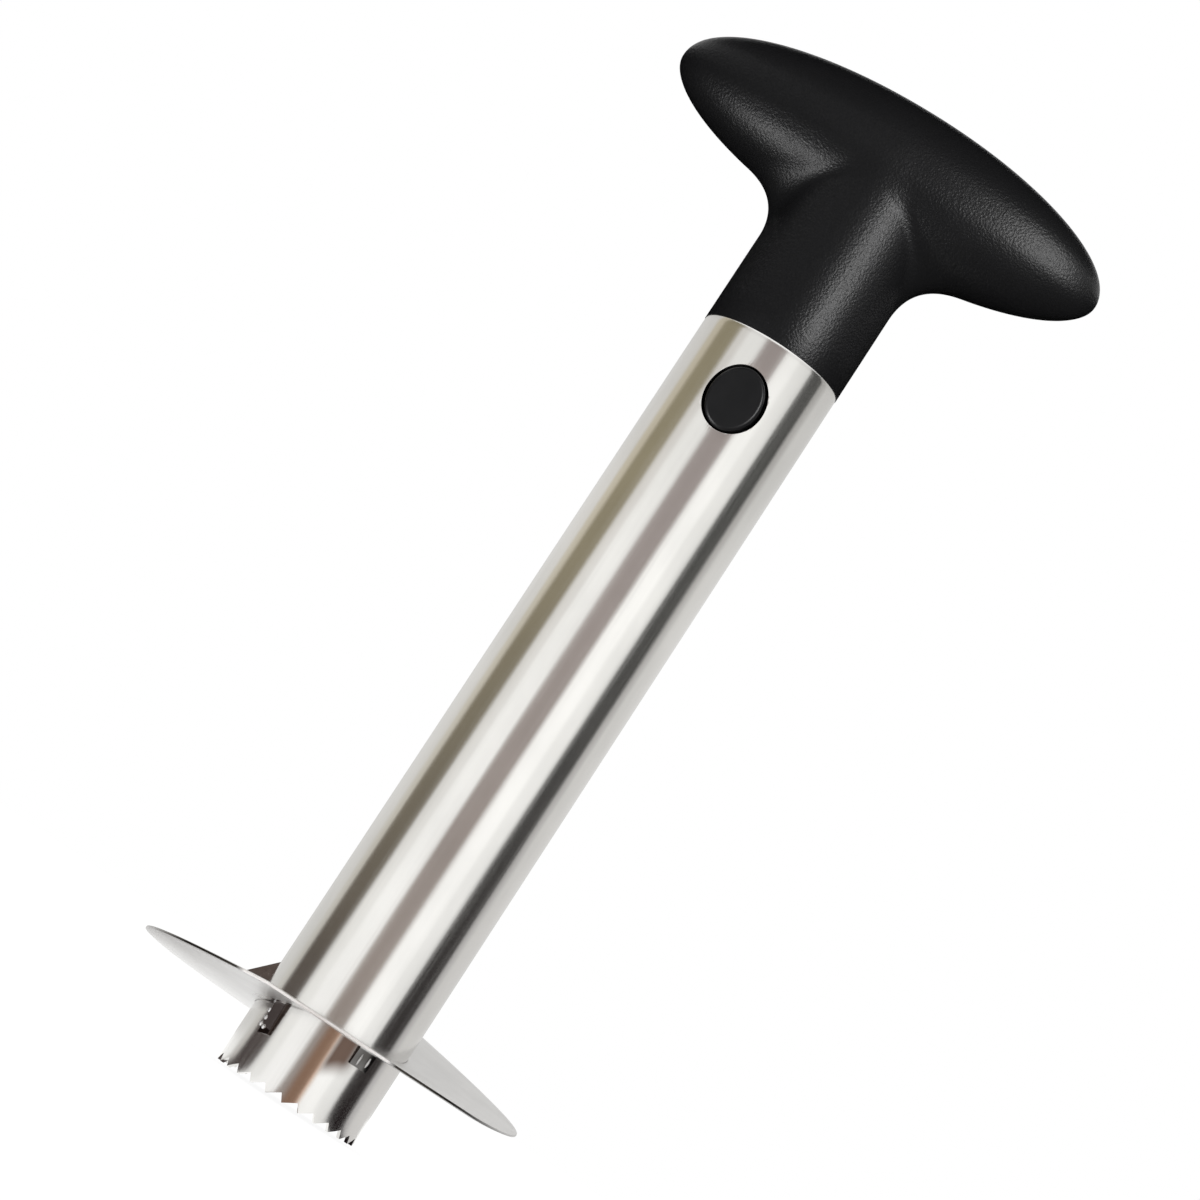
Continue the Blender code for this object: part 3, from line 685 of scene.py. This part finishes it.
class GripForm:
    """The grip's outer form: a crossbar, and a neck that ends in a dome inside it, with a hollow between them."""

    def __init__(self, size):
        low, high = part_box("front_grip_shell")
        self.size = size
        self.half_length = high.x
        self.depth = -low.y
        self.axis = high.z - size.crown

    def crossbar_gap(self, point):
        over = point.z - self.axis
        rise = self.size.belly if over < 0 else self.size.crown
        top = min(max(over / self.size.power_change / 2 + 0.5, 0), 1)
        top *= top * (3 - 2 * top)
        along_power = self.size.belly_power + (self.size.crown_power - self.size.belly_power) * top
        cross_power = 2 + (self.size.crown_round - 2) * top
        across = (abs(point.y / self.depth) ** cross_power + abs(over / rise) ** cross_power) ** (1 / cross_power)
        along = abs(point.x) / self.half_length
        return ((along ** along_power + across ** along_power) ** (1 / along_power) - 1) * self.depth

    def neck_gap(self, point):
        over = max(0, point.z - self.axis) * NECK_RADIUS / self.size.dome
        return math.hypot(point.x, point.y, over) - NECK_RADIUS

    def gap(self, point):
        """How far a point lies outside the form."""
        high = min(max((point.z - self.axis) / self.size.dome, 0), 1)
        side = (abs(point.x) / max(radius_of(point), CLEARANCE)) ** 8 * (1 - high * high * (3 - 2 * high))
        fillet = self.size.front_fillet + (self.size.side_fillet - self.size.front_fillet) * side
        bar, neck = self.crossbar_gap(point), self.neck_gap(point)
        return min(bar, neck) - max(fillet - abs(bar - neck), 0) ** 2 / (4 * fillet)

    def settle(self, point, free):
        """Moves a point onto the form, straight out along the axes that it is free in."""
        step = CLEARANCE / 30
        for _ in range(3):
            gap = self.gap(point)
            slope = Vector((0, 0, 0))
            for axis in free:
                beside = point.copy()
                beside[axis] += step
                slope[axis] = (self.gap(beside) - gap) / step
            point = point - slope * gap / max(slope.length_squared, 0.1)
        return point


class SLICER_OT_grip(bpy.types.Operator):
    """Adds the two grip shells: their CAD solids with a finer skin, laid on the grip's exact form"""
    bl_idname = "slicer.grip"
    bl_label = "Grip shells"

    def execute(self, context):
        size = context.scene.slicer_grip
        form = GripForm(size)
        material = grained_plastic(size)
        mouth, lower = TUBE_TOP + CLEARANCE, CLEARANCE * 0.75
        parting = CLEARANCE * 0.55
        for side, _ in SIDES:
            shell = copy_of(f"{side}_grip_shell", f"grained_{side}_grip")
            select(shell, "FACE", lambda face: all(abs(form.gap(vert.co)) < size.wall / 8 for vert in face.verts)
                   and max(abs(vert.co.y) for vert in face.verts) > CLEARANCE)
            bpy.ops.mesh.subdivide(number_cuts=4)
            bpy.ops.object.mode_set(mode="OBJECT")
            # The shells' mouths come down and their edges meet, so that no light shows through
            for vert in shell.data.vertices:
                if abs(vert.co.y) < parting:
                    vert.co.y = 0
                if abs(vert.co.z - mouth) < CLEARANCE / 10:
                    vert.co.z -= lower
                if abs(form.gap(vert.co)) < size.wall / 4:
                    free = [0]
                    if abs(vert.co.y) > parting:
                        free.append(1)
                    if vert.co.z > mouth + CLEARANCE / 10:
                        free.append(2)
                    vert.co = form.settle(vert.co, free)
            round_edges(shell, size.edge, 50)
            hand_over(shell, material, "grip_plastic", f"{side}_grip_shell", flat=False)
        return {"FINISHED"}


class SLICER_OT_buttons(bpy.types.Operator):
    """Adds the two push buttons: a flange, a rounded face drawn out of it, and the spring's pocket behind"""
    bl_idname = "slicer.buttons"
    bl_label = "Push buttons"

    def execute(self, context):
        size = context.scene.slicer_buttons
        material = plain_plastic("black button plastic", context.scene.slicer_grip.smooth_plastic, 0.36)
        for side, sign in SIDES:
            low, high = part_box(f"{side}_button")
            back, face = sorted((abs(low.y), abs(high.y)))
            rest()
            bpy.ops.mesh.primitive_cylinder_add(vertices=96, radius=high.x, depth=size.flange,
                                                location=(0, 0, back + size.flange / 2))
            bpy.ops.object.transform_apply()
            button = begin(f"smooth_{side}_button")
            select_all()
            bpy.ops.transform.resize(value=(1, size.height / size.width, 1), center_override=(0, 0, 0))
            select(button, "FACE", lambda part: part.normal.z > 0.5)
            bpy.ops.mesh.inset(thickness=high.x - size.width / 2)
            draw_out(face - back - size.flange)
            bpy.ops.mesh.select_mode(type="EDGE")
            bpy.ops.mesh.region_to_loop()
            bpy.ops.mesh.bevel(offset=size.edge, segments=6, affect="EDGES")
            select(button, "FACE", lambda part: part.normal.z < -0.5)
            bpy.ops.mesh.inset(thickness=high.x - size.pocket / 2)
            bpy.ops.transform.resize(value=(1, size.pocket / (size.pocket + (high.z - low.z) - 2 * high.x), 1),
                                     center_override=(0, 0, back))
            draw_out(face - size.face_wall - back)
            round_edges(button, size.flange_edge, 60)
            button.rotation_euler.x = -sign * math.pi / 2
            button.location.z = (low.z + high.z) / 2
            hand_over(button, material, "button_plastic", f"{side}_button", body=f"{side}_button", smooth=30)
        return {"FINISHED"}


class SLICER_OT_springs(bpy.types.Operator):
    """Adds the two coil springs"""
    bl_idname = "slicer.springs"
    bl_label = "Button springs"

    def execute(self, context):
        size = context.scene.slicer_buttons
        material = drawn_steel("drawn spring wire", size.wire_steel, 0.28)
        for side, sign in SIDES:
            low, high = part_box(f"{side}_button_spring")
            start, end = sorted((abs(low.y), abs(high.y)))
            height = (low.z + high.z) / 2
            rest()
            bpy.ops.mesh.primitive_circle_add(vertices=14, radius=size.wire / 2, rotation=(math.pi / 2, 0, 0),
                                              location=(size.coil / 2, 0, start + size.wire / 2))
            bpy.ops.object.transform_apply()
            spring = begin(f"coiled_{side}_spring")
            bpy.ops.object.mode_set(mode="OBJECT")
            pitch = (end - start - size.wire) / size.turns
            finish_step(spring, "SCREW", axis="Z", angle=TURN, screw_offset=pitch, iterations=size.turns, steps=36,
                        render_steps=36, merge_threshold=0.000001)
            bpy.ops.object.mode_set(mode="EDIT")
            select_all()
            bpy.ops.mesh.fill_holes(sides=0)
            select_all()
            bpy.ops.mesh.normals_make_consistent()
            bpy.ops.object.mode_set(mode="OBJECT")
            spring.rotation_euler.x = -sign * math.pi / 2
            spring.location.z = height
            hand_over(spring, material, "spring_steel", f"{side}_button_spring")
            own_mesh(spring)
        return {"FINISHED"}


class SLICER_OT_inner_parts(bpy.types.Operator):
    """Finishes the latch housing, its end cap and the grip pins, which keep their CAD shapes"""
    bl_idname = "slicer.inner_parts"
    bl_label = "Inner parts"

    def execute(self, context):
        shade = context.scene.slicer_grip.smooth_plastic
        housing = plain_plastic("black housing plastic", shade, 0.45)
        pin = drawn_steel("ground pin steel", context.scene.slicer_buttons.wire_steel, 0.22)
        finishes = {"latch_housing": housing, "housing_end_cap": housing, "lower_grip_pin": pin, "upper_grip_pin": pin}
        for node, material in finishes.items():
            for place in frame["nodes"][node].material_slots:
                place.material = material
        return {"FINISHED"}


# Studio

def panel_round(name, low, high, shades, studio):
    """A curved panel beside the object that runs on over the floor, seen only in the steel's reflections.

    It has its angles, in degrees, at the floor and at the studio's upper level, and a shade on the floor, one just
    above it and one at the upper level.
    """
    rest()
    top = studio.upper * PANEL_RISE
    bpy.ops.mesh.primitive_cylinder_add(vertices=360, radius=studio.reach, depth=top + CLEARANCE,
                                        end_fill_type="NOTHING", location=(0, 0, (top - CLEARANCE) / 2))
    bpy.ops.object.transform_apply()
    panel = begin(name)
    middle, half = math.radians(sum(low)) / 2, math.radians(low[1] - low[0]) / 2

    def off_middle(point):
        return (place_of(point) - middle + math.pi) % TURN - math.pi

    select(panel, "FACE", lambda face: abs(off_middle(face.calc_center_median())) > half)
    bpy.ops.mesh.delete(type="FACE")
    shift = math.radians(sum(high) - sum(low)) / 2 * PANEL_RISE
    wider = 1 + ((high[1] - high[0]) / (low[1] - low[0]) - 1) * PANEL_RISE
    mesh = bmesh.from_edit_mesh(panel.data)
    for vert in mesh.verts:
        if vert.co.z > top / 2:
            vert.co = on_circle(studio.reach, middle + shift + off_middle(vert.co) * wider, top)
    bmesh.update_edit_mesh(panel.data)
    select(panel, "EDGE", lambda edge: all(vert.co.z < 0 for vert in edge.verts))
    bpy.ops.mesh.extrude_edges_move()
    inwards = TUBE_RADIUS / 2 / studio.reach
    bpy.ops.transform.resize(value=(inwards, inwards, 1), center_override=(0, 0, 0))
    bpy.ops.object.mode_set(mode="OBJECT")
    show_in_reflections(panel, shades, studio.upper)
    return panel


def show_in_reflections(panel, shades, upper):
    """Gives a panel a glow that only mirrors see."""
    material = bpy.data.materials.new(panel.name)
    material.use_nodes = True
    tree = material.node_tree
    tree.nodes.clear()
    height = object_axes(tree)["Z"]
    floor, low, high = shades
    shade = mixed(tree, spread(tree, height, 0.0, upper), low, high)
    shade = mixed(tree, spread(tree, height, 0.0001, -0.0001), shade, floor)
    strength = spread(tree, height, upper * 0.85, upper * 1.5, start=1.0, end=0.78)
    glow = add_node(tree, "ShaderNodeEmission", {"Color": shade, "Strength": strength})
    add_node(tree, "ShaderNodeOutputMaterial", {"Surface": glow.outputs["Emission"]})
    panel.data.materials.append(material)
    for ray in ("camera", "diffuse", "transmission", "shadow"):
        setattr(panel, f"visible_{ray}", False)
    rest()


def lights_only(lights, word):
    """Makes lights and glowing panels light only the pieces whose material has this word in its name."""
    group = bpy.data.collections.new(f"{word} pieces")
    for piece in bpy.data.objects:
        if piece.type == "MESH" and piece.data.materials and word in piece.data.materials[0].name:
            group.objects.link(piece)
    for light in lights:
        light.light_linking.receiver_collection = group


def background_share(tree):
    """1 for rays from the camera and for those that metal or glass sends on, else 0."""
    path = add_node(tree, "ShaderNodeLightPath").outputs
    seen = maths(tree, "MAXIMUM", path["Is Camera Ray"], path["Is Glossy Ray"])
    return maths(tree, "MAXIMUM", seen, path["Is Transmission Ray"])


class SLICER_OT_studio(bpy.types.Operator):
    """Adds the floor, the reflection panels, the lamps, the white surroundings and the camera"""
    bl_idname = "slicer.studio"
    bl_label = "Studio"

    def execute(self, context):
        studio = context.scene.slicer_studio
        self.add_floor()
        self.add_panels(studio)
        self.add_lamps(studio)
        self.add_surroundings(context, studio)
        self.add_camera(context, studio)
        context.scene.view_settings.view_transform = "Standard"
        return {"FINISHED"}

    def add_floor(self):
        """A pale floor just under the teeth, almost white for the camera but with the object's shadow."""
        rest()
        bpy.ops.mesh.primitive_plane_add(size=16, location=(0, 0, -0.0006))
        floor = bpy.context.object
        floor.name = "floor"
        material, tree, shader = new_material("pale floor", Roughness=0.9, Specular_IOR_Level=0.0)
        shader.inputs["Base Color"].default_value = (0.82, 0.82, 0.82, 1.0)
        glow = add_node(tree, "ShaderNodeEmission", {"Color": (1, 1, 1, 1), "Strength": 1.14}).outputs["Emission"]
        white = times(tree, background_share(tree), 0.82)
        blend = add_node(tree, "ShaderNodeMixShader", {"Fac": white, 1: shader.outputs["BSDF"], 2: glow})
        tree.links.new(blend.outputs["Shader"], tree.nodes["Material Output"].inputs["Surface"])
        floor.data.materials.append(material)

    def add_panels(self, studio):
        """Light and dark panels that draw the stripes on the steel and leave the plastic dark."""
        dark_left = (0.085, 0.07, 0.068)
        walls = (
            ("left_back", (-144, -140), (1.15, 1.15, 1.14), (0.74, 0.735, 0.72), (0.84, 0.83, 0.81)),
            ("left_grey", (-112, -106), (0.68, 0.66, 0.64), (0.68, 0.67, 0.64), (0.70, 0.64, 0.51)),
            ("left_dark", (-99, -91.4), dark_left, dark_left, (0.35, 0.31, 0.21)),
            ("left_soft", (-63, -57.4), (1.02, 1.02, 1.01), (1.02, 1.02, 1.0), (0.88, 0.86, 0.83)),
            ("left_bright", (-42, -42), (1.2, 1.2, 1.2), (1.16, 1.16, 1.15), (1.10, 1.10, 1.08)),
            ("centre_grey", (-12, -13), (0.34, 0.29, 0.265), (0.345, 0.295, 0.265), (0.41, 0.36, 0.345)),
            ("right_bright", (18, 20), (1.15, 1.15, 1.14), (1.20, 1.20, 1.19), (1.26, 1.26, 1.24)),
            ("right_soft", (45, 45), (0.95, 0.95, 0.94), (1.02, 1.02, 1.01), (1.08, 1.08, 1.06)),
            ("right_dark", (67, 68.5), (0.012, 0.008, 0.009), (0.03, 0.025, 0.025), (0.09, 0.09, 0.086)),
            ("right_grey", (102, 97), (0.60, 0.59, 0.59), (0.60, 0.59, 0.59), (0.60, 0.59, 0.575)),
            ("right_back", (113, 110), (0.72, 0.71, 0.70), (0.74, 0.73, 0.72), (0.80, 0.795, 0.78)),
            ("back", (156, 156), (1.15, 1.15, 1.14), (0.74, 0.735, 0.72), (0.82, 0.815, 0.80)),
        )
        panels = []
        for number, (name, start, *shades) in enumerate(walls):
            end = walls[(number + 1) % len(walls)][1]
            if end[0] < start[0]:
                end = (end[0] + 360, end[1] + 360)
            panels.append(panel_round(name + "_panel", (start[0], end[0]), (start[1], end[1]), shades, studio))
        rest()
        bpy.ops.mesh.primitive_circle_add(vertices=64, radius=studio.reach * 1.1, fill_type="NGON",
                                          location=(0, -studio.reach * 0.35, 0.42))
        lid = bpy.context.object
        lid.name = "top_panel"
        show_in_reflections(lid, ((1.2, 1.2, 1.2),) * 3, studio.upper)
        lights_only(panels + [lid], "steel")

    def add_lamps(self, studio):
        """Two large soft lamps in front, and two small ones that only draw the black plastic's highlights."""
        lamps = {}
        middle, grip = Vector((0, 0, 0.12)), Vector((0, 0, 0.215))
        for name, turn, reach, height, width, tall, power, aim in (
                ("key", 38, 1.1, 0.75, 0.7, 0.7, studio.key, middle),
                ("fill", -42, 1.1, 0.45, 0.7, 0.7, studio.fill, middle),
                ("strip", 37, 0.8, 0.38, 0.09, 0.42, studio.strip, grip),
                ("low", -40, 0.16, 0.015, 0.11, 0.11, studio.low, grip)):
            data = bpy.data.lights.new(name, "AREA")
            data.shape = "RECTANGLE"
            data.size, data.size_y = width, tall
            data.energy = power
            lamp = new_object(name, data)
            lamp.location = on_circle(reach, math.radians(turn), height)
            lamp.rotation_euler = (aim - lamp.location).to_track_quat("-Z", "Y").to_euler()
            lamp.visible_camera = False
            lamps[name] = lamp
        for name in ("key", "fill"):
            lamps[name].visible_glossy = False
        lights_only([lamps["strip"], lamps["low"]], "plastic")

    def add_surroundings(self, context, studio):
        """White for the camera and in reflections, and an even light for everything else."""
        world = bpy.data.worlds.new("white surroundings")
        world.use_nodes = True
        tree = world.node_tree
        glow = tree.nodes["Background"]
        glow.inputs["Color"].default_value = (1, 1, 1, 1)
        strength = spread(tree, background_share(tree), 0, 1, start=studio.sky, end=1.0)
        tree.links.new(strength, glow.inputs["Strength"])
        context.scene.world = world

    def add_camera(self, context, studio):
        camera = new_object("camera", bpy.data.cameras.new("camera"))
        camera.data.lens = studio.lens
        camera.data.sensor_width = 36
        camera.data.clip_start = 0.05
        camera.data.clip_end = 50
        place = on_circle(studio.camera_distance, studio.camera_angle, studio.camera_height)
        turn = Matrix.Rotation(studio.camera_angle + studio.yaw, 4, "Z")
        tilt = Matrix.Rotation(math.pi / 2 + studio.pitch, 4, "X")
        camera.matrix_world = Matrix.Translation(place) @ turn @ tilt @ Matrix.Rotation(studio.roll, 4, "Z")
        context.scene.camera = camera


class SLICER_PT_pieces(bpy.types.Panel):
    """Lists the slicer's pieces and the studio in the sidebar"""
    bl_label = "Pineapple slicer"
    bl_space_type = "VIEW_3D"
    bl_region_type = "UI"
    bl_category = "Slicer"

    def draw(self, context):
        for title, group, settings, operators in SECTIONS:
            box = self.layout.box()
            box.label(text=title)
            for operator in operators:
                box.operator(operator.bl_idname)
            for name in settings.__annotations__:
                box.prop(getattr(context.scene, group), name)


SECTIONS = (
    ("Tube", "slicer_tube", TubeSettings, (SLICER_OT_core_tube,)),
    ("Blade", "slicer_blade", BladeSettings, (SLICER_OT_ring_blade, SLICER_OT_gusset, SLICER_OT_welds)),
    ("Grip", "slicer_grip", GripSettings, (SLICER_OT_grip, SLICER_OT_inner_parts)),
    ("Buttons", "slicer_buttons", ButtonSettings, (SLICER_OT_buttons, SLICER_OT_springs)),
    ("Studio", "slicer_studio", StudioSettings, (SLICER_OT_studio,)),
)


def register():
    for _, group, settings, operators in SECTIONS:
        for item in (settings, *operators):
            bpy.utils.register_class(item)
        setattr(bpy.types.Scene, group, PointerProperty(type=settings))
    bpy.utils.register_class(SLICER_PT_pieces)


def unregister():
    bpy.utils.unregister_class(SLICER_PT_pieces)
    for _, group, settings, operators in SECTIONS:
        delattr(bpy.types.Scene, group)
        for item in (settings, *operators):
            bpy.utils.unregister_class(item)


def main():
    register()
    bpy.ops.slicer.core_tube()
    bpy.ops.slicer.ring_blade()
    bpy.ops.slicer.gusset()
    bpy.ops.slicer.welds()
    bpy.ops.slicer.grip()
    bpy.ops.slicer.inner_parts()
    bpy.ops.slicer.buttons()
    bpy.ops.slicer.springs()
    bpy.ops.slicer.studio()


if __name__ == "__main__":
    main()
